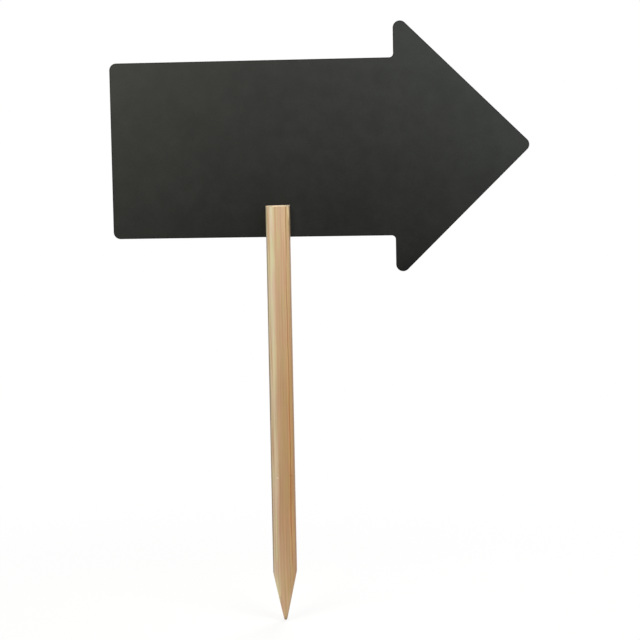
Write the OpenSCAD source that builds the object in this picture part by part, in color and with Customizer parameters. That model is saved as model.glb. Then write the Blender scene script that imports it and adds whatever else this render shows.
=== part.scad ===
// Arrow-shaped chalkboard sign on a pointed garden stake, sizes in millimetres.
// The origin is the middle of the stake's tip. +X is where the arrow points, +Z is up
// and -Y is the side that the stake is on.

/* [Board] */
// Thickness of the painted fibreboard panel
board_thickness = 6; // [4:0.5:12]
// Length of the stem, from its square end to the barbs
stem_length = 285; // [220:1:500]
// Height of the stem
stem_height = 176; // [100:1:300]
// How far each barb stands out from the stem, before its corner is rounded
barb_reach = 45.5; // [32:0.5:90]
// Depth of the head, from the barbs to the point, before the point is rounded
head_depth = 136; // [90:1:260]
// Radius of the five outer corners
corner_radius = 7; // [2:0.5:14]
// Radius that the router leaves in the two inner corners
inner_radius = 4; // [1:0.5:8]
// Width of the eased edge round both faces of the panel
edge_ease = 0.6; // [0.2:0.1:1.5]

/* [Stake] */
// Width of the stake
stake_width = 23.5; // [20:0.5:40]
// Thickness of the stake
stake_thickness = 15; // [14:0.5:30]
// Length of the stake, from its sawn end to its tip
stake_length = 420; // [300:1:900]
// Length of the two saw cuts that make the point
point_length = 49; // [30:1:120]
// Width of the blunt edge that is left at the tip
tip_width = 0.9; // [0.5:0.1:4]
// How much of the front face the broad rounded arris takes
broad_arris_width = 8.75; // [5:0.25:10]
// How far back the broad arris reaches down the side
broad_arris_depth = 5; // [4:0.25:8]
// How far the broad arris is crowned above a flat one
broad_arris_crown = 0.85; // [0.2:0.05:1]
// How much of the front face the narrow arris takes
narrow_arris_width = 3; // [1:0.25:6]
// How far back the narrow arris reaches down the other side
narrow_arris_depth = 3.7; // [1:0.1:6]
// Width of the small arris on both back edges
back_arris = 1; // [0.3:0.1:2]
// Width of the sanded edge round the front and sides of the sawn end
end_ease = 1; // [0.3:0.1:2]

/* [Joint] */
// How far the stake reaches up the board
overlap = 32; // [26:1:120]
// Distance from the stem's square end to the middle of the stake
stake_from_end = 168; // [40:1:200]
// Distance of each screw from the sawn end, or from the board's lower edge
screw_edge_gap = 9; // [7:0.5:12]
// Sideways distance between the two screws, so that they share no grain line
screw_spread = 7; // [0:0.5:9]

/* [Screws] */
// Outer diameter of the screw's thread
screw_diameter = 3.5; // [3:0.1:4]
// Length of the screw, from the top of its head to its point
screw_length = 16; // [13:0.5:18]
// Length of the screw's conical point
screw_point = 3.5; // [2:0.1:5]
// Diameter of the countersunk head
head_diameter = 7; // [6:0.1:8]
// Height of the straight rim of the head
head_rim = 0.4; // [0.2:0.1:0.8]
// How far the head lies below the board's face
head_sink = 0.2; // [0:0.1:0.6]
// Width of the cross recess at the top of the head
recess_width = 4.2; // [3:0.1:5]
// Width of the cross recess at its foot
recess_foot = 1.5; // [1:0.1:2.2]
// Thickness of each wing of the cross recess
recess_wing = 0.9; // [0.6:0.1:1.2]
// Depth of the cross recess
recess_depth = 1.8; // [1:0.1:2.2]
// Gap between the head and its countersink, and round the thread in the stake
screw_seat_gap = 0.1; // [0.05:0.01:0.2]
// Extra radius of the clearance hole in the board
clearance_gap = 0.25; // [0.1:0.05:0.5]
// How much deeper than the screw the pilot hole is
pilot_spare = 0.8; // [0.3:0.1:1]

/* [Hidden] */

// Steps along each rounded corner of the board, and along the crown of the broad arris
arc_steps = 12;
crown_steps = 10;
// How far a cutting shape runs past the surface that it cuts
past = 1;
round_steps = 48;

half_width = stake_width / 2;
front_y = -stake_thickness / 2;
back_y = stake_thickness / 2;
far_face_y = back_y + board_thickness;
board_low_z = stake_length - overlap;
board_axis_z = board_low_z + stem_height / 2;

head_radius = head_diameter / 2;
screw_radius = screw_diameter / 2;
head_cone = head_radius - screw_radius;
screw_x = screw_spread / 2;
upper_screw_z = stake_length - screw_edge_gap;
lower_screw_z = board_low_z + screw_edge_gap;
// Each screw's place across and up the board, and how far its cross is turned
screw_places = [[-screw_x, upper_screw_z, 18], [screw_x, lower_screw_z, 62]];

function unit(v) = v / norm(v);

function polar(radius, angle) = radius * [cos(angle), sin(angle)];

// Points of the arc that rounds corner b of an outline that runs from a to c.
// An inset draws the same arc on an outline that lies that much further in.
function corner_arc(a, b, c, radius, inset) =
    let (
        to_a = unit(a - b),
        to_c = unit(c - b),
        half = acos(to_a * to_c) / 2,
        centre = b + unit(to_a + to_c) * radius / sin(half),
        foot = b + to_a * radius / tan(half) - centre,
        start = atan2(foot.y, foot.x),
        outer = cross(to_a, to_c) < 0,
        sweep = (outer ? 1 : -1) * (180 - 2 * half),
        drawn = outer ? radius - inset : radius + inset
    )
    [for (i = [0:arc_steps]) centre + polar(drawn, start + sweep * i / arc_steps)];

// Points of a shallow arc from a to b that stands out by the given rise on the right.
function crown_arc(a, b, rise) =
    let (
        chord = norm(b - a),
        radius = (chord * chord / 4 + rise * rise) / (2 * rise),
        along = unit(b - a),
        centre = (a + b) / 2 + [-along.y, along.x] * (radius - rise),
        start = atan2(a.y - centre.y, a.x - centre.x),
        sweep = 2 * asin(chord / 2 / radius)
    )
    [for (i = [0:crown_steps]) centre + polar(radius, start + sweep * i / crown_steps)];

// The arrow's corners with their radii, from the point round by the upper barb.
stem_half = stem_height / 2;
head_half = stem_half + barb_reach;
arrow_corners = [
    [stem_length + head_depth, 0, corner_radius],
    [stem_length, head_half, corner_radius],
    [stem_length, stem_half, inner_radius],
    [0, stem_half, corner_radius],
    [0, -stem_half, corner_radius],
    [stem_length, -stem_half, inner_radius],
    [stem_length, -head_half, corner_radius]
];

function corner_point(i) =
    let (corner = arrow_corners[(i + len(arrow_corners)) % len(arrow_corners)])
    [corner.x, corner.y];

// The rounded outline of the arrow, in order, from the arc at its point.
function arrow_outline(inset) = [
    for (i = [0:len(arrow_corners) - 1])
        each corner_arc(corner_point(i - 1), corner_point(i), corner_point(i + 1),
                        arrow_corners[i].z, inset)
];

// A panel with eased edges, lofted through its outline and the same outline drawn in.
// Every point of the arrow can be seen from the outline's first one, at its tip.
module eased_panel(thickness, ease) {
    levels = [[0, ease], [ease, 0], [thickness - ease, 0], [thickness, ease]];
    rings = [for (level = levels) [for (p = arrow_outline(level.y)) [p.x, p.y, level.x]]];
    count = len(rings[0]);
    top = (len(levels) - 1) * count;
    sides = [
        for (ring = [0:len(levels) - 2], i = [0:count - 1])
            let (low = ring * count, high = low + count, next = (i + 1) % count)
            [low + i, high + i, high + next, low + next]
    ];
    underside = [for (i = [0:count - 1]) i];
    upside = [for (i = [0:count - 1]) top + (count - i) % count];
    polyhedron([for (ring = rings) each ring], concat([underside, upside], sides));
}

// Puts its child at each screw, with +Z out of the board's far face.
module at_screws() {
    for (place = screw_places)
        translate([place.x, far_face_y, place.y])
            rotate([-90, 0, 0])
                rotate(place.z)
                    children();
}

module countersunk_hole() {
    reach = head_sink + head_rim + past;
    translate([0, 0, -head_sink - head_rim - head_cone])
        cylinder(h = head_cone + reach, r1 = screw_radius + screw_seat_gap,
                 r2 = head_radius + screw_seat_gap + reach, $fn = round_steps);
    translate([0, 0, -board_thickness - past])
        cylinder(h = board_thickness + past, r = screw_radius + clearance_gap,
                 $fn = round_steps);
}

module pilot_hole() {
    depth = head_sink + screw_length + pilot_spare;
    translate([0, 0, -depth])
        cylinder(h = depth, r = screw_radius + screw_seat_gap, $fn = round_steps);
}

module cross_recess() {
    for (turn = [0, 90])
        rotate([90, 0, turn])
            linear_extrude(recess_wing, center = true)
                polygon([
                    [-recess_foot / 2, -recess_depth],
                    [recess_foot / 2, -recess_depth],
                    [recess_width / 2, 0],
                    [recess_width / 2, past],
                    [-recess_width / 2, past],
                    [-recess_width / 2, 0]
                ]);
}

// A countersunk wood screw, its head's top at the origin and its point down.
module wood_screw() {
    difference() {
        rotate_extrude($fn = round_steps)
            polygon([
                [0, 0],
                [head_radius, 0],
                [head_radius, -head_rim],
                [screw_radius, -head_rim - head_cone],
                [screw_radius, screw_point - screw_length],
                [0, -screw_length]
            ]);
        cross_recess();
    }
}

module arrow_board() {
    color("#393a37")
        difference() {
            translate([-stake_from_end, far_face_y, board_axis_z])
                rotate([90, 0, 0])
                    eased_panel(board_thickness, edge_ease);
            at_screws() countersunk_hole();
        }
}

// The planed batten's section, seen from above with its front towards -Y.
module stake_section() {
    broad_side = [-half_width, front_y + broad_arris_depth];
    broad_front = [broad_arris_width - half_width, front_y];
    polygon(concat(
        crown_arc(broad_side, broad_front, broad_arris_crown),
        [
            [half_width - narrow_arris_width, front_y],
            [half_width, front_y + narrow_arris_depth],
            [half_width, back_y - back_arris],
            [half_width - back_arris, back_y],
            [back_arris - half_width, back_y],
            [-half_width, back_y - back_arris]
        ]
    ));
}

// What the saw takes off one side of the stake to make the point.
module point_cut() {
    rise = point_length / (half_width - tip_width / 2);
    rotate([90, 0, 0])
        linear_extrude(stake_thickness + 2 * past, center = true)
            polygon([
                [tip_width / 2 - past, -past * rise],
                [half_width + past, point_length + past * rise],
                [half_width + 2 * past, point_length + past * rise],
                [half_width + 2 * past, -past * rise]
            ]);
}

// The corner that sanding takes off the sawn end along one edge, for an edge along X.
module end_cut(length) {
    rotate([90, 0, 90])
        linear_extrude(length + 2 * past, center = true)
            polygon([
                [-past, -end_ease - past],
                [end_ease + past, past],
                [-past, past]
            ]);
}

module stake() {
    color("#c3a47a")
        difference() {
            linear_extrude(stake_length) stake_section();
            for (side = [0, 1]) mirror([side, 0, 0]) {
                point_cut();
                translate([half_width, 0, stake_length])
                    rotate(90)
                        end_cut(stake_thickness);
            }
            translate([0, front_y, stake_length]) end_cut(stake_width);
            at_screws() pilot_hole();
        }
}

module board_screws() {
    color("#b4b7ba")
        at_screws()
            translate([0, 0, -head_sink])
                wood_screw();
}

arrow_board();
stake();
board_screws();
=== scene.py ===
"""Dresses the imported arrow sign: a painted panel, a planed pine stake and two wood screws.

Everything is in metres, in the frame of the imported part: +X is where the arrow points, +Z is up
and -Y is the side that the stake is on.
"""

import math

import bmesh
import bpy
from bpy.props import FloatProperty, FloatVectorProperty, PointerProperty
from mathutils import Matrix, Vector, noise


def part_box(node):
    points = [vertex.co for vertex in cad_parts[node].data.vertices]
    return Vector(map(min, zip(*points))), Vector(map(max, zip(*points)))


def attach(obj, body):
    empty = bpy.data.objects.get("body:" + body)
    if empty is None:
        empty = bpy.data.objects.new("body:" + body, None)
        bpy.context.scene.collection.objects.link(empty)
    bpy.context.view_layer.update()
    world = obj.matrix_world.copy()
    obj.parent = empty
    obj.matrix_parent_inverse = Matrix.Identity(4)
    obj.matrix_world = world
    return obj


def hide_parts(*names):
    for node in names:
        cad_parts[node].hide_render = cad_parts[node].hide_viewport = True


bl_info = {
    "name": "Arrow Sign",
    "version": (1, 0, 0),
    "blender": (4, 5, 0),
    "location": "View3D > Sidebar > Arrow Sign",
    "description": "Models a blackboard arrow on a pointed wooden stake around its packed frame",
    "category": "Object",
}

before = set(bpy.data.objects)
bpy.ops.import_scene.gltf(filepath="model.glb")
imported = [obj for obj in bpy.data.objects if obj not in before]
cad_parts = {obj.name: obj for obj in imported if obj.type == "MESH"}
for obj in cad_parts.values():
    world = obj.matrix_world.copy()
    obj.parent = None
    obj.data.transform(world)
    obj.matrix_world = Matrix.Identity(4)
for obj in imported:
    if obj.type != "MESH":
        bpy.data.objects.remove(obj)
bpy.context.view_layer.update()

MM = 0.001
FULL_TURN = 2 * math.pi
BODY = "root"

BOARD_LOW, BOARD_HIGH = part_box("arrow_board")
STAKE_LOW, STAKE_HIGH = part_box("stake")
SCREWS_LOW, SCREWS_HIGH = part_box("board_screws")

# Which of its materials a face of the board or of the stake has. The board's edge paint is painted
# shade.
FACE_PAINT, SHADED_EDGE = 0, 1
PLANED, SAWN = 0, 1

# Points nearer than this are one point, in a finished mesh and along a cut.
WELD = MM / 1000
CUT_SLACK = MM / 1e4

# How far a cutter reaches past the surface that it opens.
PAST = MM

# Steps of each round shape, those of the thread for each of its turns.
TURN_STEPS = 48
CORNER_STEPS = 14
CROWN_STEPS = 8
THREAD_STEPS = 28
FLOOR_STEPS = 64
BOARD_EDGE_SEGMENTS = 4
STAKE_EDGE_SEGMENTS = 3

# Edges bent by more than this many degrees are shaded as sharp ones.
SHARP_ANGLE = 35

# How many degrees each screw was turned when it was driven home.
SCREW_TURNS = (18, 62)

# Half the ridge of a screw's thread at its root and at its crest, as shares of the pitch.
RIDGE_ROOT, RIDGE_CREST = 0.3, 0.04

# How much of its height the thread keeps at the screw's point.
RIDGE_AT_POINT = 0.35

# How thick a wing of the cross recess is at its foot, as a share of its top.
WING_TAPER = 0.8

# Waves in the planed surface: width, length and depth in millimetres, and a shift in the noise.
WEAR_WAVES = [
    (7, 45, 0.09, 0),
    (1.6, 14, 0.05, 40),
]

# Most values of a noise texture lie between these two.
NOISE = (0.3, 0.7)

# Patterns of the rolled paint: size in millimetres, detail and swing in brightness. The last is
# the roller's stipple, drawn a little coarser than it is, because a finer one doesn't show.
ROLLED_PATTERNS = [
    (45, 3.0, 0.06),
    (13, 2.0, 0.08),
    (1.7, 3.0, 0.07),
]

# How the painted light and shade on the paint bow toward the board's ends and with its height.
ENDS_POWER, HEIGHT_POWER = 2.2, 0.6

# Painted light by the stake, where its shadow falls: how far below the stake's end it reaches full
# strength, and its reach to either side.
STAKE_LIGHT_DROP, STAKE_LIGHT_REACH = 8 * MM, 30 * MM

# Middle of the tree, behind the stake and to its right, the one dark ring's radius round it, and
# how much wider that ring grows in a metre of height.
HEART = Vector((48, 20, 0)) * MM
DARK_RING_RADIUS = 47.8 * MM
DARK_RING_GROWTH = 0.8 * MM

# Radii across which the wood turns from heartwood to sapwood, and its weathering fades out.
WOOD_SPAN = (38 * MM, 66 * MM)
WEATHER_SPAN = (52.5 * MM, 58 * MM)

# How far late wood stands out, against the fibres.
LATE_RIDGE = 0.6

# How far to the right the painted shade along the long edges is shifted, and how far the sawn end's
# border is torn.
EDGE_SHADE_SHIFT = 0.6 * MM
TEAR_DEPTH = 1.2 * MM

# Share of pale end grain on a saw cut, and how far up the painted shade on the saw cuts reaches, in
# lengths of the point.
CUT_END_GRAIN = 0.7
CUT_SHADE_REACH = 1.4

# A saw's marks: their gap, their sway and their rise across the stake.
SAW_GAP, SAW_SWAY, SAW_SLANT = 1.3 * MM, 1.5 * MM, 0.6

# Patterns that run with the grain: how many times longer than wide, width in millimetres, detail.
# Real fibres are too fine to show, so they are drawn 1.3 mm wide.
GRAIN = {
    "sway": (7, 11, 2.0),
    "patches": (14, 5, 1.0),
    "fibres": (45, 1.3, 4.0),
    "blotches": (6, 4.5, 2.0),
}

# Tint of the stake from its tip, at 0, to its sawn end, at 1.
DRIFT = [
    (0.05, "#fcfffa"),
    (0.25, "#efebe6"),
    (0.6, "#ececea"),
    (1.0, "#dde8e6"),
]

# Marks on the wood, two of them painted shade and one a painted highlight: centre and reach in
# millimetres, colour, and strongest share of that colour.
MARKS = {
    "pale nick": ((-4.7, -7.3, 146.5), (1.5, 2.0, 0.7), "#e6dcc8", 0.8),
    "dark scratch": ((9.0, -6.6, 149), (2.8, 2.5, 0.7), "#5d3a24", 0.4),
    # Painted highlight.
    "painted highlight at the top of the right arris": ((11.5, -3.6, 417), (1.7, 3.2, 16), "#ead0a8", 0.7),
    "russet ring": ((9.4, -6.5, 136), (2.2, 3.0, 26), "#a56a3c", 0.35),
    # Painted shade at the tip.
    "painted shade at the tip": ((0.4, -6.5, -0.5), (7.0, 9.0, 6.5), "#6b523c", 0.6),
    "scuff over the left cut": ((-7.2, -6.5, 54), (2.4, 4.0, 15), "#c49c86", 0.5),
    "red streak on the point": ((-3.4, -7.3, 20), (1.8, 3.0, 10), "#a87c6a", 0.3),
    "yellow streak on the point": ((4.4, -7.3, 38), (2.6, 3.0, 18), "#b5955c", 0.4),
    # Painted shade over the right cut.
    "painted shade over the right cut": ((9.8, -6.5, 50), (4.0, 5.0, 38), "#8e7150", 0.28),
}

# Softboxes: place and target in metres, side in metres, watts and the setting with the colour.
SOFTBOXES = {
    "right_softbox": ((0.3, -0.3, 0.76), (0.14, 0.0, 0.5), 0.3, 2.85, "cool_light"),
    "left_softbox": ((-0.22, -0.42, 0.77), (-0.1, 0.0, 0.5), 0.3, 3.2, "warm_light"),
    "back_softbox": ((0.3, 1.5, 1.1), (0.0, 0.0, 0.4), 1.0, 22, "backdrop"),
}

# Share of plain white that the camera sees in the floor at the tip, where the shadow is darkest.
WHITE_AT_TIP = 0.8

# Strength at which the white all round lights the sign.
WORLD_LIGHT = 0.3

# The photograph's camera: its place in metres, how far it is turned to the left, tipped down and
# rolled to the right in degrees, and its focal length and the picture's width in pixels.
CAMERA_PLACE = (0.2448, -1.979, 0.4832)
CAMERA_YAW, CAMERA_PITCH, CAMERA_ROLL = 5.895, 5.122, 1.074
FOCAL_LENGTH = 2000
PICTURE_WIDTH = 640
SENSOR_WIDTH = 36
CLIP_END = 100


def linear(code):
    """The linear colour, with alpha, of an sRGB hex value such as #343532."""
    shares = [int(code[i:i + 2], 16) / 255 for i in (1, 3, 5)]
    return [s / 12.92 if s <= 0.04045 else ((s + 0.055) / 1.055) ** 2.4 for s in shares] + [1.0]


def length(name, description, size_mm):
    """A length property with its default in millimetres."""
    return FloatProperty(name=name, description=description, default=size_mm * MM, unit="LENGTH",
                         min=0.0, precision=5)


def colour(name, description, code):
    """A colour property with its default as an sRGB hex value."""
    return FloatVectorProperty(name=name, description=description, default=linear(code),
                               subtype="COLOR", size=4, min=0.0, max=1.0)


class BoardSettings(bpy.types.PropertyGroup):
    """Sizes and colours of the arrow panel."""

    stem_length: length("Stem length", "From the square end to the barbs", 285)
    stem_height: length("Stem height", "Height of the stem", 176)
    barb_reach: length("Barb reach", "How far an unrounded barb stands out from the stem", 45.5)
    head_depth: length("Head depth", "From the barbs to the unrounded point", 136)
    corner_radius: length("Corner radius", "Radius of the five outer corners", 7)
    inner_radius: length("Inner radius", "Radius the router leaves in the inner corners", 4)
    edge_radius: length("Edge radius", "Radius of the eased edges of both faces", 0.6)
    hole_gap: length("Hole gap", "Extra radius of the clearance holes", 0.25)
    paint: colour("Blackboard paint", "Matt charcoal paint on both faces", "#212221")
    # The darker edge paint is painted shade along the eased edges.
    shaded_edge_paint: colour("Edge paint", "The same paint, soaked darker into the eased edges", "#1a1b1a")
    edge_border: length("Edge border", "How far the darker edge paint reaches onto each face", 0.6)
    pit_spacing: length("Pit spacing", "About how far apart the small pits in the paint are", 17)
    bare_board: colour("Bare fibreboard", "Raw board inside the screw holes", "#7a5c3f")
    bare_fibre: colour("Bare fibres", "Darker fibres in the raw board", "#5d4630")


class StakeSettings(bpy.types.PropertyGroup):
    """Sizes and colours of the stake."""

    point_length: length("Point length", "Length of the two saw cuts at the tip", 50)
    tip_width: length("Tip width", "Width of the blunt edge at the tip", 0.9)
    tip_lean: length("Tip lean", "How far the tip lies off the middle of the stake", 0.4)
    tip_wear: length("Tip wear", "How much the front of the tip is worn away", 2)
    end_skew: length("End skew", "How much lower the left of the sawn end is", 0.4)
    broad_width: length("Broad arris width", "How much of the front the broad arris takes", 8.75)
    broad_depth: length("Broad arris depth", "How far back the broad arris reaches", 5)
    broad_crown: length("Broad arris crown", "How far the broad arris is crowned", 0.85)
    narrow_width: length("Narrow arris width", "How much of the front the narrow arris takes", 3)
    narrow_depth: length("Narrow arris depth", "How far back the narrow arris reaches", 3.7)
    back_arris: length("Back arris", "Width of the arris on both back edges", 1)
    end_ease: length("End easing", "Width of the sanded edge round the sawn end", 1)
    edge_radius: length("Edge radius", "Radius that planing leaves on the long edges", 0.5)
    slice_gap: length("Slice gap", "Spacing of the cuts that let the surface wander", 2)
    pilot_gap: length("Pilot gap", "Room under the point of each screw in its pilot hole", 0.8)
    ring_width: length("Ring width", "Width of each growth ring", 2.4)
    early_wood: colour("Early wood", "Tan wood of the flat face", "#c5a485")
    late_wood: colour("Late wood", "Darker, redder line of each growth ring", "#a97a50")
    sap_wood: colour("Sapwood", "Palest wood, along the left arris", "#dccaae")
    # The duller sapwood at the very edge of the left arris is painted shade.
    shaded_sap_edge: colour("Worn sapwood", "Duller sapwood at the very edge of the left arris", "#c4b59a")
    heart_wood: colour("Heartwood", "Warmer wood, along the right arris", "#d6ad84")
    dark_ring: colour("Dark ring", "The one ring that stands out by the right arris", "#8b6a4c")
    dark_ring_low: colour("Dark ring, low", "The same ring near the point", "#9a6534")
    sawn_end: colour("Sawn end", "Pale end grain at the top", "#c0ae94")
    stain: colour("Stain", "Tint of the weathered stretch below the board", "#f4efdd")
    rosy: colour("Rosy grain", "Tint of the redder patches of grain", "#fff8fb")
    straw: colour("Straw grain", "Tint of the yellower patches of grain", "#fbfff4")
    # Painted shade on the saw cuts of the point.
    cut_shade: colour("Soiled cuts", "Tint that soil leaves on the saw cuts of the point", "#e0d6ca")
    # Painted shade along the long edges.
    edge_shade: colour("Handled edges", "Tint of the dulled long edges", "#d4ced0")


class ScrewSettings(bpy.types.PropertyGroup):
    """Sizes and colour of the two wood screws."""

    thread_diameter: length("Thread diameter", "Outer diameter of the thread", 3.5)
    core_diameter: length("Core diameter", "Diameter under the thread", 2.3)
    thread_pitch: length("Thread pitch", "Distance from turn to turn of the thread", 1.6)
    thread_sink: length("Thread sink", "How far the thread's ridge sinks into the core", 0.15)
    thread_end: length("Thread end", "How far short of the point the thread stops", 0.6)
    head_diameter: length("Head diameter", "Diameter of the countersunk head", 7)
    head_rim: length("Head rim", "Height of the straight rim of the head", 0.4)
    head_ease: length("Head easing", "Width of the eased edge of the head", 0.1)
    head_sink: length("Head sink", "How far the head lies below the board's face", 0.2)
    seat_gap: length("Seat gap", "Gap between the head and its countersink", 0.1)
    neck_taper: length("Neck taper", "Length over which the neck narrows to the core", 0.6)
    screw_length: length("Screw length", "From the top of the head to the point", 16)
    point: length("Screw point", "Length of the conical point", 3.5)
    recess_width: length("Recess width", "Width of the cross at the top of the head", 4.2)
    recess_foot: length("Recess foot", "Width of the cross at its foot", 1.5)
    recess_wing: length("Recess wing", "Thickness of each wing of the cross", 0.9)
    recess_depth: length("Recess depth", "Depth of the cross", 1.8)
    zinc: colour("Zinc plating", "Bright zinc on the steel", "#c9ccd0")


class StageSettings(bpy.types.PropertyGroup):
    """The floor and the light round the sign."""

    floor_radius: length("Floor radius", "Radius of the pale floor", 9000)
    shadow_core: length("Shadow core", "How far from the tip the shadow shows in full", 50)
    shadow_radius: length("Shadow radius", "How far from the tip the floor shows a shadow", 700)
    floor: colour("Floor", "Plain pale floor", "#f4f4f2")
    backdrop: colour("Backdrop", "Plain white behind the sign", "#ffffff")
    cool_light: colour("Cool light", "Light of the right softbox", "#f6fdff")
    warm_light: colour("Warm light", "Light of the left softbox", "#fff6e6")


def add(tree, kind, inputs=None, **settings):
    """Adds a shader node, sets its properties and fills its inputs with values, with sockets, or
    with other nodes, each of which gives its first output in use."""
    node = tree.nodes.new(f"ShaderNode{kind}")
    for name, value in settings.items():
        setattr(node, name, value)
    for key, value in (inputs or {}).items():
        if isinstance(value, bpy.types.Node):
            value = next(output for output in value.outputs if output.enabled)
        if isinstance(value, bpy.types.NodeSocket):
            tree.links.new(value, node.inputs[key])
        else:
            node.inputs[key].default_value = value
    return node


def set_stops(ramp, stops):
    """Gives a colour ramp its stops, each a place from 0 to 1 and a colour."""
    elements = ramp.color_ramp.elements
    while len(elements) > 1:
        elements.remove(elements[-1])
    elements[0].position, elements[0].color = stops[0]
    for place, shade in stops[1:]:
        elements.new(place).color = shade
    return ramp


def mask(stops):
    """Stops that make a colour ramp a mask, from pairs of a place and a share from 0 to 1."""
    return [(place, (share, share, share, 1.0)) for place, share in stops]


def empty_tree(holder):
    """The cleared node tree of a material or a world."""
    holder.use_nodes = True
    holder.node_tree.nodes.clear()
    return holder.node_tree


def new_material(name):
    """A material, its empty node tree and the place on the piece, which its patterns follow."""
    material = bpy.data.materials.new(name)
    tree = empty_tree(material)
    return material, tree, add(tree, "TexCoord").outputs["Object"]


def span(low, high, at_low=0.0, at_high=1.0):
    """The four ends of a range: what it reads, and what it gives at either end of that."""
    return {"From Min": low, "From Max": high, "To Min": at_low, "To Max": at_high}


def per_metre(size):
    """Scale at which a pattern's features are about that many metres across."""
    return 1 / size


def rolled_tone(tree, place, settings):
    """The uneven brightness of the rolled paint, about 1, and the pattern of its stipple."""
    pits = add(tree, "TexVoronoi", {"Vector": place, "Scale": per_metre(settings.pit_spacing)})
    tone = add(tree, "MapRange", {"Value": pits, **span(0.02, 0.05, 0.72, 1.0)})
    for size, detail, swing in ROLLED_PATTERNS:
        pattern = add(tree, "TexNoise", {
            "Vector": place, "Scale": per_metre(size * MM), "Detail": detail})
        swell = add(tree, "MapRange", {"Value": pattern, **span(*NOISE, 1 - swing, 1 + swing)})
        tone = add(tree, "Math", {0: tone, 1: swell}, operation="MULTIPLY")
    return tone, pattern


def painted_light_at_ends(tree, across):
    """Painted light, from 0 in the middle of the board to 1 at its two ends, which it lights brighter.
    """
    along = add(tree, "MapRange", {"Value": across, **span(BOARD_LOW.x, BOARD_HIGH.x, -1.0, 1.0)})
    either_way = add(tree, "Math", {0: along}, operation="ABSOLUTE")
    return add(tree, "Math", {0: either_way, 1: ENDS_POWER}, operation="POWER")


def painted_light_by_height(tree, height):
    """Painted shade at the board's foot, below 0, and painted light at its top, above 0."""
    level = add(tree, "MapRange", {"Value": height, **span(BOARD_LOW.z, BOARD_HIGH.z)})
    bowed = add(tree, "Math", {0: level, 1: HEIGHT_POWER}, operation="POWER")
    return add(tree, "MapRange", {"Value": bowed, **span(0.0, 1.0, -0.59, 0.27)})


def painted_light_by_stake(tree, parts):
    """Painted light, from 0 to 1, on the front of the board below and beside the stake's sawn end, where
    the stake's shadow falls.
    """
    low_down = add(tree, "MapRange", {
        "Value": parts.outputs["Z"], **span(STAKE_HIGH.z - STAKE_LIGHT_DROP, STAKE_HIGH.z + MM, 1.0, 0.0)})
    across = add(tree, "MapRange", {"Value": parts.outputs["X"], **span(-STAKE_LIGHT_REACH, STAKE_LIGHT_REACH)})
    beside = set_stops(add(tree, "ValToRGB", {"Fac": across}), mask([
        (0.15, 0.0), (0.29, 0.371), (0.71, 1.0), (0.9, 0.0)]))
    front = add(tree, "Math", {
        0: parts.outputs["Y"], 1: (BOARD_LOW.y + BOARD_HIGH.y) / 2}, operation="LESS_THAN")
    low_front = add(tree, "Math", {0: front, 1: low_down}, operation="MULTIPLY")
    return add(tree, "Math", {0: beside, 1: low_front}, operation="MULTIPLY")


def blackboard_paint(settings, name, tint):
    """Matt blackboard paint, rolled on: deep charcoal with a fine stipple, painted light toward the
    ends, the top and beside the stake, and painted shade at the foot.
    """
    material, tree, place = new_material(name)
    parts = add(tree, "SeparateXYZ", {"Vector": place})
    tone, stipple = rolled_tone(tree, place, settings)
    # Painted light and shade, laid into the paint's tone.
    for painted_light, strength in (
        (painted_light_at_ends(tree, parts.outputs["X"]), 0.44),
        (painted_light_by_height(tree, parts.outputs["Z"]), 1.0),
        (painted_light_by_stake(tree, parts), 0.6),
    ):
        tone = add(tree, "Math", {0: painted_light, 1: strength, 2: tone}, operation="MULTIPLY_ADD")
    dullness = add(tree, "MapRange", {"Value": stipple, **span(*NOISE, 0.56, 0.66)})
    bump = add(tree, "Bump", {"Height": stipple, "Strength": 0.6, "Distance": 0.15 * MM})
    shade = add(tree, "Mix", {"Factor": 1.0, "A": tint, "B": tone},
                data_type="RGBA", blend_type="MULTIPLY")
    shader = add(tree, "BsdfPrincipled", {
        "Base Color": shade, "Roughness": dullness, "Specular IOR Level": 0.07, "Normal": bump})
    add(tree, "OutputMaterial", {"Surface": shader})
    return material


def bare_fibreboard(settings):
    """Raw medium-density fibreboard where the drill went through: brown, dry and felt-like.
    Its fibres are drawn 0.3 mm across, because the real ones are too fine to show."""
    material, tree, place = new_material("drilled_fibreboard")
    fibre = add(tree, "TexNoise", {"Vector": place, "Scale": per_metre(0.3 * MM), "Detail": 4.0})
    shade = add(tree, "Mix", {
        "Factor": fibre, "A": settings.bare_board[:], "B": settings.bare_fibre[:]},
        data_type="RGBA")
    shader = add(tree, "BsdfPrincipled", {"Base Color": shade, "Roughness": 0.9})
    add(tree, "OutputMaterial", {"Surface": shader})
    return material


def grain_patterns(tree, place):
    """The patterns of GRAIN by name, each drawn out along the stake."""
    patterns = {}
    for name, (stretch, width, detail) in GRAIN.items():
        drawn_out = add(tree, "Mapping", {"Vector": place, "Scale": (1.0, 1.0, 1 / stretch)})
        patterns[name] = add(tree, "TexNoise", {
            "Vector": drawn_out, "Scale": per_metre(width * MM), "Detail": detail})
    return patterns


def ring_radius(tree, place, sway):
    """How far the wood is from the middle of the tree, in metres, swaying a little up the stake."""
    off_heart = add(tree, "Mapping", {
        "Vector": place, "Location": -HEART, "Scale": (1.0, 1.0, 0.0)})
    radius = add(tree, "VectorMath", {0: off_heart}, operation="LENGTH")
    swayed = add(tree, "MapRange", {"Value": sway, **span(0.25, 0.75, -0.9 * MM, 0.9 * MM)})
    return add(tree, "Math", {0: radius, 1: swayed}, operation="ADD")


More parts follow.
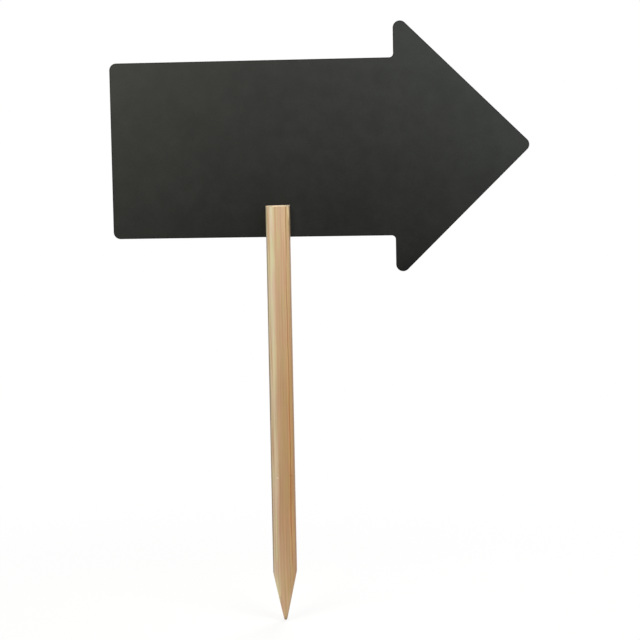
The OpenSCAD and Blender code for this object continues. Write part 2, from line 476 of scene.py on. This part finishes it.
def wood_zones(tree, settings, ring):
    """The wood's colours, from the heartwood at the right to the sapwood at the left, with painted shade
    at its very left edge.
    """
    across = add(tree, "MapRange", {"Value": ring, **span(*WOOD_SPAN)})
    return set_stops(add(tree, "ValToRGB", {"Fac": across}), [
        (0.0, settings.heart_wood[:]), (0.36, settings.heart_wood[:]),
        (0.43, settings.early_wood[:]), (0.71, settings.early_wood[:]),
        (0.78, settings.sap_wood[:]), (0.885, settings.sap_wood[:]),
        (0.93, settings.shaded_sap_edge[:])])


def drift_of_tint(tree, height):
    """The tint that drifts slowly from the tip of the stake to its sawn end."""
    level = add(tree, "MapRange", {"Value": height, **span(STAKE_LOW.z, STAKE_HIGH.z)})
    return set_stops(add(tree, "ValToRGB", {"Fac": level}), [
        (place, linear(code)) for place, code in DRIFT])


def weathered_share(tree, height, ring):
    """How weathered the wood is, from 0 to 1: most below the board, and not in the sapwood."""
    stretch = set_stops(add(tree, "ValToRGB", {"Fac": height}), mask([
        (0.03, 0.0), (0.12, 1.0), (0.24, 1.0), (0.34, 0.0)]))
    off_sap = add(tree, "MapRange", {"Value": ring, **span(*WEATHER_SPAN, 1.0, 0.0)})
    return add(tree, "Math", {0: stretch, 1: off_sap}, operation="MULTIPLY")


def late_share(tree, settings, ring, patches):
    """How much late wood shows, from 0 to 1: a line in each ring that comes and goes."""
    rings = add(tree, "Math", {0: ring, 1: per_metre(settings.ring_width)}, operation="MULTIPLY")
    growth = add(tree, "Math", {0: rings}, operation="FRACT")
    line = add(tree, "MapRange", {"Value": growth, **span(0.4, 0.9)}, interpolation_type="SMOOTHSTEP")
    strength = add(tree, "MapRange", {"Value": patches, **span(0.4, 0.68, 0.04, 0.65)})
    return add(tree, "Math", {0: line, 1: strength}, operation="MULTIPLY")


def dark_ring_share(tree, height, ring):
    """How much the one dark ring shows, from 0 to 1: it leans a little and fades at the tip."""
    level = add(tree, "Math", {0: height, 1: -DARK_RING_GROWTH, 2: ring}, operation="MULTIPLY_ADD")
    off_line = add(tree, "Math", {0: level, 1: DARK_RING_RADIUS}, operation="SUBTRACT")
    away = add(tree, "Math", {0: off_line}, operation="ABSOLUTE")
    line = add(tree, "MapRange", {
        "Value": away, **span(0.1 * MM, 0.9 * MM, 1.0, 0.0)}, interpolation_type="SMOOTHSTEP")
    strength = set_stops(add(tree, "ValToRGB", {"Fac": height}), mask([
        (0.03, 0.0), (0.06, 0.434), (0.13, 0.839), (0.42, 0.776)]))
    return add(tree, "Math", {0: line, 1: strength}, operation="MULTIPLY")


def edge_shade_share(tree, across):
    """How much painted shade lies on the wood, from 0 to 1: only along its long edges, and wider on the
    left.
    """
    shifted = add(tree, "Math", {0: across, 1: EDGE_SHADE_SHIFT}, operation="SUBTRACT")
    away = add(tree, "Math", {0: shifted}, operation="ABSOLUTE")
    return add(tree, "MapRange", {
        "Value": away, **span(STAKE_HIGH.x - 1.4 * MM, STAKE_HIGH.x - 0.6 * MM)},
        interpolation_type="SMOOTHSTEP")


def end_grain_share(tree, place, height, most):
    """How much end grain shows, from 0 to most: only at the sawn end, with a torn border."""
    tear = add(tree, "TexNoise", {"Vector": place, "Scale": per_metre(1.6 * MM), "Detail": 2.0})
    torn = add(tree, "Math", {0: tear, 1: TEAR_DEPTH, 2: height}, operation="MULTIPLY_ADD")
    return add(tree, "MapRange", {
        "Value": torn, **span(STAKE_HIGH.z - 0.8 * MM, STAKE_HIGH.z - 0.4 * MM, 0.0, most)})


def mark_share(tree, place, centre, reach, most):
    """A soft oval, from most at its centre to 0 at its reach, both of them in millimetres."""
    away = add(tree, "VectorMath", {0: place, 1: Vector(centre) * MM}, operation="SUBTRACT")
    scaled = add(tree, "VectorMath", {
        0: away, 1: [per_metre(size * MM) for size in reach]}, operation="MULTIPLY")
    distance = add(tree, "VectorMath", {0: scaled}, operation="LENGTH")
    return add(tree, "MapRange", {
        "Value": distance, **span(0.4, 1.0, most, 0.0)}, interpolation_type="SMOOTHSTEP")


def saw_marks(tree, place, parts):
    """Faint slanting ridges, from 0 to 1, that a saw's teeth leave across a cut."""
    slant = add(tree, "Math", {
        0: parts.outputs["Y"], 1: SAW_SLANT, 2: parts.outputs["Z"]}, operation="MULTIPLY_ADD")
    unrest = add(tree, "TexNoise", {"Vector": place, "Scale": per_metre(6 * MM), "Detail": 1.0})
    swayed = add(tree, "Math", {0: unrest, 1: SAW_SWAY, 2: slant}, operation="MULTIPLY_ADD")
    turns = add(tree, "Math", {0: swayed, 1: FULL_TURN * per_metre(SAW_GAP)}, operation="MULTIPLY")
    wave = add(tree, "Math", {0: turns}, operation="SINE")
    return add(tree, "MapRange", {"Value": wave, **span(-1.0, 1.0)})


def sawn_surface(tree, settings, place, parts):
    """What a saw leaves, with coats of open pores and of painted shade by the point, and the cut's
    ridges.
    """
    pores = add(tree, "TexNoise", {"Vector": place, "Scale": per_metre(0.45 * MM), "Detail": 3.0})
    open_grain = add(tree, "MapRange", {"Value": pores, **span(*NOISE, 0.84, 1.06)})
    point = settings.point_length
    # Painted shade on the cuts by the point.
    near_point = add(tree, "MapRange", {
        "Value": parts.outputs["Z"], **span(point, CUT_SHADE_REACH * point, 1.0, 0.0)})
    coats = [
        (1.0, open_grain, "MULTIPLY"),
        (near_point, settings.cut_shade[:], "MULTIPLY"),
    ]
    marks = saw_marks(tree, place, parts)
    return coats, add(tree, "Math", {0: marks, 1: pores}, operation="ADD")


def pine(settings, name, sawn):
    """Unfinished pine: growth rings run the whole length, round a heart off to the right.
    The left arris is pale sapwood, one dark ring stands out by the right arris, and the dry
    surface has only a dull sheen. Where it is sawn, the saw's marks and open pores show.
    Painted shade lies along its long edges, on the cuts of the point and at the tip, and a
    painted highlight at the top of the right arris."""
    material, tree, place = new_material(name)
    parts = add(tree, "SeparateXYZ", {"Vector": place})
    height = parts.outputs["Z"]
    grain = grain_patterns(tree, place)
    ring = ring_radius(tree, place, grain["sway"])
    late = late_share(tree, settings, ring, grain["patches"])
    ring_tone = set_stops(add(tree, "ValToRGB", {"Fac": height}), [
        (0.2, settings.dark_ring_low[:]), (0.34, settings.dark_ring[:])])
    fleck = add(tree, "MapRange", {"Value": grain["fibres"], **span(*NOISE, 0.93, 1.07)})
    hue = set_stops(add(tree, "ValToRGB", {"Fac": grain["blotches"]}), [
        (0.36, settings.rosy[:]), (0.64, settings.straw[:])])
    coats = [
        (1.0, drift_of_tint(tree, height), "MULTIPLY"),
        (weathered_share(tree, height, ring), settings.stain[:], "MULTIPLY"),
        (late, settings.late_wood[:], "MIX"),
        (dark_ring_share(tree, height, ring), ring_tone, "MIX"),
        (1.0, fleck, "MULTIPLY"),
        (1.0, hue, "MULTIPLY"),
    ]
    for centre, reach, code, most in MARKS.values():
        coats.append((mark_share(tree, place, centre, reach, most), linear(code), "MIX"))
    # Painted shade along the long edges.
    coats.append((edge_shade_share(tree, parts.outputs["X"]), settings.edge_shade[:], "MULTIPLY"))
    end_grain = end_grain_share(tree, place, height, CUT_END_GRAIN if sawn else 1.0)
    coats.append((end_grain, settings.sawn_end[:], "MIX"))
    if sawn:
        cut_coats, ridges = sawn_surface(tree, settings, place, parts)
        coats += cut_coats
        ridge_depth = 0.09 * MM
    else:
        ridges = add(tree, "Math", {
            0: late, 1: LATE_RIDGE, 2: grain["fibres"]}, operation="MULTIPLY_ADD")
        ridge_depth = 0.05 * MM
    wood = wood_zones(tree, settings, ring)
    for share, shade, how in coats:
        wood = add(tree, "Mix", {"Factor": share, "A": wood, "B": shade},
                   data_type="RGBA", blend_type=how)
    bump = add(tree, "Bump", {"Height": ridges, "Strength": 0.35, "Distance": ridge_depth})
    shader = add(tree, "BsdfPrincipled", {
        "Base Color": wood, "Roughness": 0.62, "Specular IOR Level": 0.35, "Normal": bump})
    add(tree, "OutputMaterial", {"Surface": shader})
    return material


def zinc_plate(settings):
    """Bright zinc over steel: a bluish, slightly cloudy metal."""
    material, tree, place = new_material("zinc_plated_steel")
    cloud = add(tree, "TexNoise", {"Vector": place, "Scale": per_metre(1.5 * MM), "Detail": 3.0})
    dullness = add(tree, "MapRange", {"Value": cloud, **span(*NOISE, 0.25, 0.42)})
    shader = add(tree, "BsdfPrincipled", {
        "Base Color": settings.zinc[:], "Metallic": 1.0, "Roughness": dullness})
    add(tree, "OutputMaterial", {"Surface": shader})
    return material


def of_kind(geometry, kind):
    """The vertices or the edges among the geometry that a bmesh operator returns."""
    return [item for item in geometry if isinstance(item, kind)]


def placed(name, data):
    """A new object in the scene that holds a mesh, a light or a camera."""
    made = bpy.data.objects.new(name, data)
    bpy.context.scene.collection.objects.link(made)
    return made


def object_from(bm, name):
    """A new object that holds the bmesh's mesh; the bmesh is freed."""
    mesh = bpy.data.meshes.new(name)
    bm.to_mesh(mesh)
    bm.free()
    return placed(name, mesh)


def cut_away(body, cutter):
    """Takes the cutter's shape out of the body's mesh and removes the cutter."""
    modifier = body.modifiers.new("cut", "BOOLEAN")
    modifier.operation = "DIFFERENCE"
    modifier.solver = "EXACT"
    modifier.object = cutter
    bpy.context.view_layer.update()
    evaluated = body.evaluated_get(bpy.context.evaluated_depsgraph_get())
    result = bpy.data.meshes.new_from_object(evaluated)
    body.modifiers.clear()
    spent = body.data
    body.data = result
    result.name = spent.name
    bpy.data.meshes.remove(spent)
    waste = cutter.data
    bpy.data.objects.remove(cutter)
    bpy.data.meshes.remove(waste)


def finish_piece(piece, node):
    """Shades a finished piece, seats it on its body and lets it stand for its CAD node."""
    mesh = piece.data
    mesh.shade_smooth()
    mesh.set_sharp_from_angle(angle=math.radians(SHARP_ANGLE))
    modifier = piece.modifiers.new("even_shading", "WEIGHTED_NORMAL")
    modifier.keep_sharp = True
    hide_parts(node)
    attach(piece, BODY)


def spun(profile):
    """A closed turned shape, as a bmesh, from a profile of (radius, height) about Z."""
    bm = bmesh.new()
    verts = [bm.verts.new((radius, 0.0, height)) for radius, height in profile]
    edges = [bm.edges.new(pair) for pair in zip(verts, verts[1:])]
    bmesh.ops.spin(bm, geom=verts + edges, cent=(0, 0, 0), axis=(0, 0, 1), angle=FULL_TURN,
                   steps=TURN_STEPS, use_merge=True)
    bmesh.ops.remove_doubles(bm, verts=bm.verts, dist=WELD)
    bmesh.ops.recalc_face_normals(bm, faces=bm.faces)
    return bm


def screw_frames(settings):
    """Where each screw stands: +Z out of the board's far face, turned as it was driven in."""
    radius = settings.head_diameter / 2
    places = [
        (SCREWS_LOW.x + radius, SCREWS_HIGH.z - radius),
        (SCREWS_HIGH.x - radius, SCREWS_LOW.z + radius),
    ]
    return [
        Matrix.Translation((x, BOARD_HIGH.y, z))
        @ Matrix.Rotation(math.radians(-90), 4, "X")
        @ Matrix.Rotation(math.radians(turn), 4, "Z")
        for (x, z), turn in zip(places, SCREW_TURNS)
    ]


def drill(body, profile, settings):
    """Turns a drill's profile into a cutter at each screw and cuts the body with it.
    The hole's wall gets the last of the body's materials."""
    for place in screw_frames(settings):
        bm = spun(profile)
        bmesh.ops.transform(bm, matrix=place, verts=bm.verts)
        for face in bm.faces:
            face.material_index = len(body.data.materials) - 1
        cutter = object_from(bm, "drill")
        for material in body.data.materials:
            cutter.data.materials.append(material)
        cut_away(body, cutter)


def corner_arc(bm, before, corner, after, radius):
    """Spins the arc that rounds one corner of the outline; gives its first and last vertex."""
    to_before = (before - corner).normalized()
    to_after = (after - corner).normalized()
    half = to_before.angle(to_after) / 2
    centre = corner + (to_before + to_after).normalized() * radius / math.sin(half)
    first = bm.verts.new(corner + to_before * radius / math.tan(half))
    axis = to_before.cross(to_after)
    arc = bmesh.ops.spin(bm, geom=[first], cent=centre, axis=-axis.normalized(),
                         angle=math.pi - 2 * half, steps=CORNER_STEPS)
    return first, of_kind(arc["geom_last"], bmesh.types.BMVert)[0]


def arrow_outline(settings):
    """The arrow's corners, each a point in the XZ plane with its radius, from the point round."""
    low, high = BOARD_LOW, BOARD_HIGH
    end = low.x
    axis = (low.z + high.z) / 2
    barb = end + settings.stem_length
    stem = settings.stem_height / 2
    head = stem + settings.barb_reach
    outer = settings.corner_radius
    corners = [
        (barb + settings.head_depth, 0.0, outer),
        (barb, head, outer),
        (barb, stem, settings.inner_radius),
        (end, stem, outer),
        (end, -stem, outer),
        (barb, -stem, settings.inner_radius),
        (barb, -head, outer),
    ]
    return [(Vector((x, low.y, axis + z)), radius) for x, z, radius in corners]


def arrow_panel(settings):
    """The arrow as a bmesh, cut from its outline, with both faces' edges eased and bordered."""
    bm = bmesh.new()
    corners = arrow_outline(settings)
    count = len(corners)
    arcs = [
        corner_arc(bm, corners[i - 1][0], corners[i][0], corners[(i + 1) % count][0], corners[i][1])
        for i in range(count)
    ]
    for i, (_, last) in enumerate(arcs):
        bm.edges.new((last, arcs[(i + 1) % count][0]))
    face = bmesh.ops.contextual_create(bm, geom=bm.edges)["faces"][0]
    rim = list(face.edges)
    raised = bmesh.ops.extrude_face_region(bm, geom=[face])["geom"]
    rim += of_kind(raised, bmesh.types.BMEdge)
    bmesh.ops.translate(bm, vec=(0, BOARD_HIGH.y - BOARD_LOW.y, 0),
                        verts=of_kind(raised, bmesh.types.BMVert))
    bmesh.ops.recalc_face_normals(bm, faces=bm.faces)
    bmesh.ops.bevel(bm, geom=rim, offset=settings.edge_radius, offset_type="OFFSET",
                    segments=BOARD_EDGE_SEGMENTS, profile=0.5, affect="EDGES", clamp_overlap=True,
                    material=-1)
    broad = sorted(bm.faces, key=lambda face: face.calc_area())[-2:]
    bmesh.ops.inset_individual(bm, faces=broad, thickness=settings.edge_border,
                               use_even_offset=True)
    # The eased edges and a narrow border on each face get the darker paint: painted shade.
    for face in bm.faces:
        face.material_index = FACE_PAINT if face in broad else SHADED_EDGE
    return bm


def clearance_hole(settings, screws):
    """The drill's profile for a screw's hole through the board, with its 90 degree countersink."""
    neck = screws.thread_diameter / 2 + settings.hole_gap
    rise = screws.head_sink + screws.head_rim
    mouth = screws.head_diameter / 2 + screws.seat_gap + rise + PAST
    foot = BOARD_LOW.y - BOARD_HIGH.y - PAST
    return [(0.0, PAST), (mouth, PAST), (neck, PAST + neck - mouth), (neck, foot), (0.0, foot)]


class SIGN_OT_board(bpy.types.Operator):
    """Cut the arrow panel, ease its edges, drill it and paint it"""

    bl_idname = "sign.board"
    bl_label = "Arrow board"

    def execute(self, context):
        settings = context.scene.sign_board
        screws = context.scene.sign_screws
        piece = object_from(arrow_panel(settings), "painted_arrow_board")
        for material in (
            blackboard_paint(settings, "rolled_blackboard_paint", settings.paint[:]),
            blackboard_paint(settings, "edge_blackboard_paint", settings.shaded_edge_paint[:]),
            bare_fibreboard(settings),
        ):
            piece.data.materials.append(material)
        drill(piece, clearance_hole(settings, screws), screws)
        finish_piece(piece, "arrow_board")
        return {"FINISHED"}


def stake_section(bm, settings):
    """The batten's section as one face at the tip's height, with its long edges rounded."""
    half = (STAKE_HIGH.x - STAKE_LOW.x) / 2
    front, back = STAKE_LOW.y, STAKE_HIGH.y
    small = settings.back_arris
    side = Vector((-half, front + settings.broad_depth, 0.0))
    nose = Vector((settings.broad_width - half, front, 0.0))
    chord = nose - side
    crown = settings.broad_crown
    radius = (chord.length_squared / 4 + crown * crown) / (2 * crown)
    inward = Vector((-chord.y, chord.x, 0.0)).normalized()
    centre = (side + nose) / 2 + inward * (radius - crown)
    first = bm.verts.new(side)
    arc = bmesh.ops.spin(bm, geom=[first], cent=centre, axis=(0, 0, 1),
                         angle=2 * math.asin(chord.length / 2 / radius), steps=CROWN_STEPS)
    flats = [
        (half - settings.narrow_width, front),
        (half, front + settings.narrow_depth),
        (half, back - small),
        (half - small, back),
        (small - half, back),
        (-half, back - small),
    ]
    ring = of_kind(arc["geom_last"], bmesh.types.BMVert)
    ring += [bm.verts.new((x, y, 0.0)) for x, y in flats]
    ring.append(first)
    for pair in zip(ring, ring[1:]):
        bm.edges.new(pair)
    bmesh.ops.contextual_create(bm, geom=bm.edges)
    bmesh.ops.bevel(bm, geom=ring, offset=settings.edge_radius, offset_type="OFFSET",
                    segments=STAKE_EDGE_SEGMENTS, profile=0.5, affect="VERTICES",
                    clamp_overlap=True, material=-1)


def saw(bm, point, normal, material):
    """Saws off what lies beyond a plane and closes the cut with a flat face of that material."""
    cut = bmesh.ops.bisect_plane(bm, geom=bm.verts[:] + bm.edges[:] + bm.faces[:], dist=CUT_SLACK,
                                 plane_co=point, plane_no=normal, clear_outer=True)["geom_cut"]
    edges = of_kind(cut, bmesh.types.BMEdge)
    for face in bmesh.ops.contextual_create(bm, geom=edges)["faces"]:
        face.material_index = material


def saw_ends(bm, settings):
    """Saws the point and the upper end, wears the front of the tip and sands the end's edges."""
    half = (STAKE_HIGH.x - STAKE_LOW.x) / 2
    front, top = STAKE_LOW.y, STAKE_HIGH.z
    point, wear = settings.point_length, settings.tip_wear
    skew, ease = settings.end_skew, settings.end_ease
    run = half - settings.tip_width / 2
    for side in (-1, 1):
        saw(bm, (side * half, 0, point), (side * point, 0, side * settings.tip_lean - run), SAWN)
        saw(bm, (side * half, 0, top - ease / 2), (side, 0, 1), PLANED)
    saw(bm, (0, front, wear), (0, -wear, front), SAWN)
    saw(bm, (half, 0, top), (-skew, 0, 2 * half), SAWN)
    saw(bm, (0, front, top - ease), (-skew / 2 / half, -1, 1), PLANED)


def slices(bm, axis, low, high, gap):
    """Adds edge loops across the mesh at even places along one axis."""
    normal = Vector((0.0, 0.0, 0.0))
    normal[axis] = 1.0
    for i in range(1, round((high - low) / gap)):
        bmesh.ops.bisect_plane(bm, geom=bm.verts[:] + bm.edges[:] + bm.faces[:], dist=CUT_SLACK,
                               plane_co=normal * (low + i * gap), plane_no=normal)


def weather(bm):
    """Lets the planed surface wander inwards by up to 0.14 mm, in long swells and small ripples."""
    bm.normal_update()
    moves = {}
    for vert in bm.verts:
        x, y, z = vert.co / MM
        depth = 0.0
        for width, run, deepest, shift in WEAR_WAVES:
            swell = noise.noise(Vector((x / width + shift, y / width, z / run)))
            depth += deepest * (0.5 + 0.5 * swell)
        moves[vert] = depth * MM
    for vert, depth in moves.items():
        vert.co -= vert.normal * depth


def crisp_cuts(mesh):
    """Keeps the shading crisp along the edges of the saw cuts, however shallow they are."""
    bm = bmesh.new()
    bm.from_mesh(mesh)
    for edge in bm.edges:
        if len({face.material_index for face in edge.link_faces}) > 1:
            edge.smooth = False
    bm.to_mesh(mesh)
    bm.free()


class SIGN_OT_stake(bpy.types.Operator):
    """Plane the stake, saw its point and its end, and drill it for the screws"""

    bl_idname = "sign.stake"
    bl_label = "Stake"

    def execute(self, context):
        settings = context.scene.sign_stake
        screws = context.scene.sign_screws
        low, high = STAKE_LOW, STAKE_HIGH
        bm = bmesh.new()
        stake_section(bm, settings)
        raised = bmesh.ops.extrude_face_region(bm, geom=bm.faces)["geom"]
        top = of_kind(raised, bmesh.types.BMVert)
        bmesh.ops.translate(bm, vec=(0, 0, high.z), verts=top)
        bmesh.ops.recalc_face_normals(bm, faces=bm.faces)
        saw_ends(bm, settings)
        slices(bm, 2, low.z, high.z, settings.slice_gap)
        slices(bm, 0, low.x, high.x, settings.slice_gap / 2)
        slices(bm, 1, low.y, high.y, settings.slice_gap / 2)
        weather(bm)
        piece = object_from(bm, "pointed_stake")
        piece.data.materials.append(pine(settings, "planed_pine", False))
        piece.data.materials.append(pine(settings, "sawn_pine", True))
        bore = screws.thread_diameter / 2 + screws.seat_gap
        foot = -(screws.head_sink + screws.screw_length + settings.pilot_gap)
        drill(piece, [(0.0, 0.0), (bore, 0.0), (bore, foot), (0.0, foot)], screws)
        finish_piece(piece, "stake")
        crisp_cuts(piece.data)
        return {"FINISHED"}


def screw_profile(settings):
    """The turned shape of a screw without its thread, from the top of its head to its point."""
    head = settings.head_diameter / 2
    crest = settings.thread_diameter / 2
    core = settings.core_diameter / 2
    ease = settings.head_ease
    under = settings.head_rim + head - crest
    reach = settings.screw_length
    return [
        (0.0, 0.0), (head - ease, 0.0), (head, -ease), (head, -settings.head_rim), (crest, -under),
        (core, -under - settings.neck_taper), (core, settings.point - reach), (0.0, -reach),
    ]


def thread(settings):
    """The screw's thread, as a bmesh: a wound ridge that runs out into the core at both ends."""
    bm = bmesh.new()
    crest = settings.thread_diameter / 2
    root = settings.core_diameter / 2 - settings.thread_sink
    pitch = settings.thread_pitch
    neck = -(settings.head_rim + settings.head_diameter / 2 - crest)
    foot = -settings.screw_length + settings.thread_end
    turns = (neck - foot) / pitch - 0.5
    start = neck - 0.25 * pitch
    profile = [(root, RIDGE_ROOT), (crest, RIDGE_CREST), (crest, -RIDGE_CREST), (root, -RIDGE_ROOT)]
    verts = [bm.verts.new((radius, 0.0, start + share * pitch)) for radius, share in profile]
    edges = [bm.edges.new(pair) for pair in zip(verts, verts[1:] + verts[:1])]
    steps = round(turns * THREAD_STEPS)
    wound = bmesh.ops.spin(bm, geom=verts + edges, cent=(0, 0, 0), axis=(0, 0, 1),
                           angle=turns * FULL_TURN, dvec=(0, 0, -turns * pitch / steps), steps=steps)
    bmesh.ops.contextual_create(bm, geom=edges)
    bmesh.ops.contextual_create(bm, geom=of_kind(wound["geom_last"], bmesh.types.BMEdge))
    for vert in bm.verts:
        radius = vert.co.xy.length
        taper = min(1.0, max(0.0, (vert.co.z + settings.screw_length) / settings.point))
        runout = min(1.0, max(0.0, (start - vert.co.z) / pitch + RIDGE_ROOT))
        kept = runout * (RIDGE_AT_POINT + (1 - RIDGE_AT_POINT) * taper)
        vert.co.xy *= (root * taper + max(0.0, radius - root) * kept) / radius
    bmesh.ops.recalc_face_normals(bm, faces=bm.faces)
    return bm


def cross_wing(settings, turn):
    """One tapered wing of the cross recess, as a cutter through the middle of the head."""
    bm = bmesh.new()
    bmesh.ops.create_cube(bm, size=1.0)
    deep = settings.recess_depth
    bmesh.ops.scale(bm, vec=(settings.recess_width, settings.recess_wing, deep + PAST),
                    verts=bm.verts)
    bmesh.ops.translate(bm, vec=(0, 0, (PAST - deep) / 2), verts=bm.verts)
    foot = [vert for vert in bm.verts if vert.co.z < 0]
    narrowing = settings.recess_foot / settings.recess_width
    bmesh.ops.scale(bm, vec=(narrowing, WING_TAPER, 1), verts=foot)
    bmesh.ops.rotate(bm, matrix=Matrix.Rotation(math.radians(turn), 3, "Z"), verts=bm.verts)
    return object_from(bm, "wing")


class SIGN_OT_screws(bpy.types.Operator):
    """Turn the two wood screws, wind their threads and press the cross into their heads"""

    bl_idname = "sign.screws"
    bl_label = "Board screws"

    def execute(self, context):
        settings = context.scene.sign_screws
        material = zinc_plate(settings)
        for number, place in enumerate(screw_frames(settings), start=1):
            body = object_from(spun(screw_profile(settings)), f"wood_screw_{number}")
            for turn in (0, 90):
                cut_away(body, cross_wing(settings, turn))
            bm = thread(settings)
            bm.from_mesh(body.data)
            bmesh.ops.remove_doubles(bm, verts=bm.verts, dist=WELD)
            bmesh.ops.dissolve_degenerate(bm, edges=bm.edges, dist=WELD)
            sink = Matrix.Translation((0, 0, -settings.head_sink))
            bmesh.ops.transform(bm, matrix=place @ sink, verts=bm.verts)
            bm.to_mesh(body.data)
            bm.free()
            body.data.materials.append(material)
            finish_piece(body, "board_screws")
        return {"FINISHED"}


def seen_directly(tree):
    """1 for a ray that shows the backdrop itself, straight, in gloss or through glass, else 0."""
    rays = add(tree, "LightPath").outputs
    either = add(tree, "Math", {0: rays["Is Camera Ray"], 1: rays["Is Glossy Ray"]}, operation="MAXIMUM")
    return add(tree, "Math", {0: either, 1: rays["Is Transmission Ray"]}, operation="MAXIMUM")


def floor_material(settings):
    """A plain pale floor that shows as white to the camera and still takes the soft shadow."""
    material, tree, place = new_material("pale_floor")
    reach = add(tree, "VectorMath", {0: place}, operation="LENGTH")
    white = add(tree, "MapRange", {
        "Value": reach, **span(settings.shadow_core, settings.shadow_radius, WHITE_AT_TIP, 1.0)})
    share = add(tree, "Math", {0: seen_directly(tree), 1: white}, operation="MULTIPLY")
    matt = add(tree, "BsdfDiffuse", {"Color": settings.floor[:]})
    bright = add(tree, "Emission", {"Color": settings.backdrop[:], "Strength": 1.0})
    mixed = add(tree, "MixShader", {0: share, 1: matt, 2: bright})
    add(tree, "OutputMaterial", {"Surface": mixed})
    return material


def white_world(settings):
    """Even white all round, seen at strength 1, that lights the sign only softly."""
    world = bpy.data.worlds.new("studio")
    tree = empty_tree(world)
    strength = add(tree, "MapRange", {"Value": seen_directly(tree), **span(0.0, 1.0, WORLD_LIGHT, 1.0)})
    light = add(tree, "Background", {"Color": settings.backdrop[:], "Strength": strength})
    add(tree, "OutputWorld", {"Surface": light})
    bpy.context.scene.world = world


def softbox(name, place, target, side, power, shade):
    """A square soft light that faces a point and doesn't show as a lit shape itself."""
    lamp = bpy.data.lights.new(name, "AREA")
    lamp.color = shade[:3]
    lamp.shape = "SQUARE"
    lamp.size = side
    lamp.energy = power
    made = placed(name, lamp)
    aim = Vector(target) - Vector(place)
    turn = aim.to_track_quat("-Z", "Y").to_matrix().to_4x4()
    made.matrix_world = Matrix.Translation(place) @ turn
    made.visible_camera = False


def photo_camera():
    """The camera where the photograph was taken from, a long lens at the board's height."""
    lens = bpy.data.cameras.new("photo_camera")
    lens.sensor_fit = "HORIZONTAL"
    lens.sensor_width = SENSOR_WIDTH
    lens.lens = FOCAL_LENGTH / PICTURE_WIDTH * SENSOR_WIDTH
    lens.clip_end = CLIP_END
    made = placed("photo_camera", lens)
    made.matrix_world = (
        Matrix.Translation(CAMERA_PLACE)
        @ Matrix.Rotation(math.radians(CAMERA_YAW), 4, "Z")
        @ Matrix.Rotation(math.radians(90 - CAMERA_PITCH), 4, "X")
        @ Matrix.Rotation(math.radians(-CAMERA_ROLL), 4, "Z")
    )
    bpy.context.scene.camera = made


class SIGN_OT_stage(bpy.types.Operator):
    """Lay the pale floor, hang the soft lights and set up the camera"""

    bl_idname = "sign.stage"
    bl_label = "Stage"

    def execute(self, context):
        settings = context.scene.sign_stage
        bm = bmesh.new()
        bmesh.ops.create_circle(bm, cap_ends=True, radius=settings.floor_radius,
                                segments=FLOOR_STEPS)
        floor = object_from(bm, "floor")
        floor.data.materials.append(floor_material(settings))
        white_world(settings)
        for name, (place, target, side, power, light) in SOFTBOXES.items():
            softbox(name, place, target, side, power, getattr(settings, light))
        photo_camera()
        context.scene.view_settings.view_transform = "Standard"
        return {"FINISHED"}


class SIGN_PT_panel(bpy.types.Panel):
    """Lists the sign's pieces and their settings"""

    bl_idname = "SIGN_PT_panel"
    bl_label = "Arrow Sign"
    bl_space_type = "VIEW_3D"
    bl_region_type = "UI"
    bl_category = "Arrow Sign"

    def draw(self, context):
        layout = self.layout
        for name, (operator, _) in PIECES.items():
            layout.operator(operator.bl_idname)
            settings = getattr(context.scene, name)
            column = layout.column(align=True)
            for setting in settings.bl_rna.properties.keys():
                if setting not in ("rna_type", "name"):
                    column.prop(settings, setting)


PIECES = {
    "sign_stage": (SIGN_OT_stage, StageSettings),
    "sign_board": (SIGN_OT_board, BoardSettings),
    "sign_stake": (SIGN_OT_stake, StakeSettings),
    "sign_screws": (SIGN_OT_screws, ScrewSettings),
}
CLASSES = [item for pair in PIECES.values() for item in pair] + [SIGN_PT_panel]


def register():
    """Registers the classes and hangs each group of settings on the scene."""
    for item in CLASSES:
        bpy.utils.register_class(item)
    for name, (_, group) in PIECES.items():
        setattr(bpy.types.Scene, name, PointerProperty(type=group))


def unregister():
    """Takes the settings and the classes away again."""
    for name in PIECES:
        delattr(bpy.types.Scene, name)
    for item in reversed(CLASSES):
        bpy.utils.unregister_class(item)


def main():
    """Builds the stage and every piece."""
    register()
    bpy.ops.sign.stage()
    bpy.ops.sign.board()
    bpy.ops.sign.stake()
    bpy.ops.sign.screws()


if __name__ == "__main__":
    main()
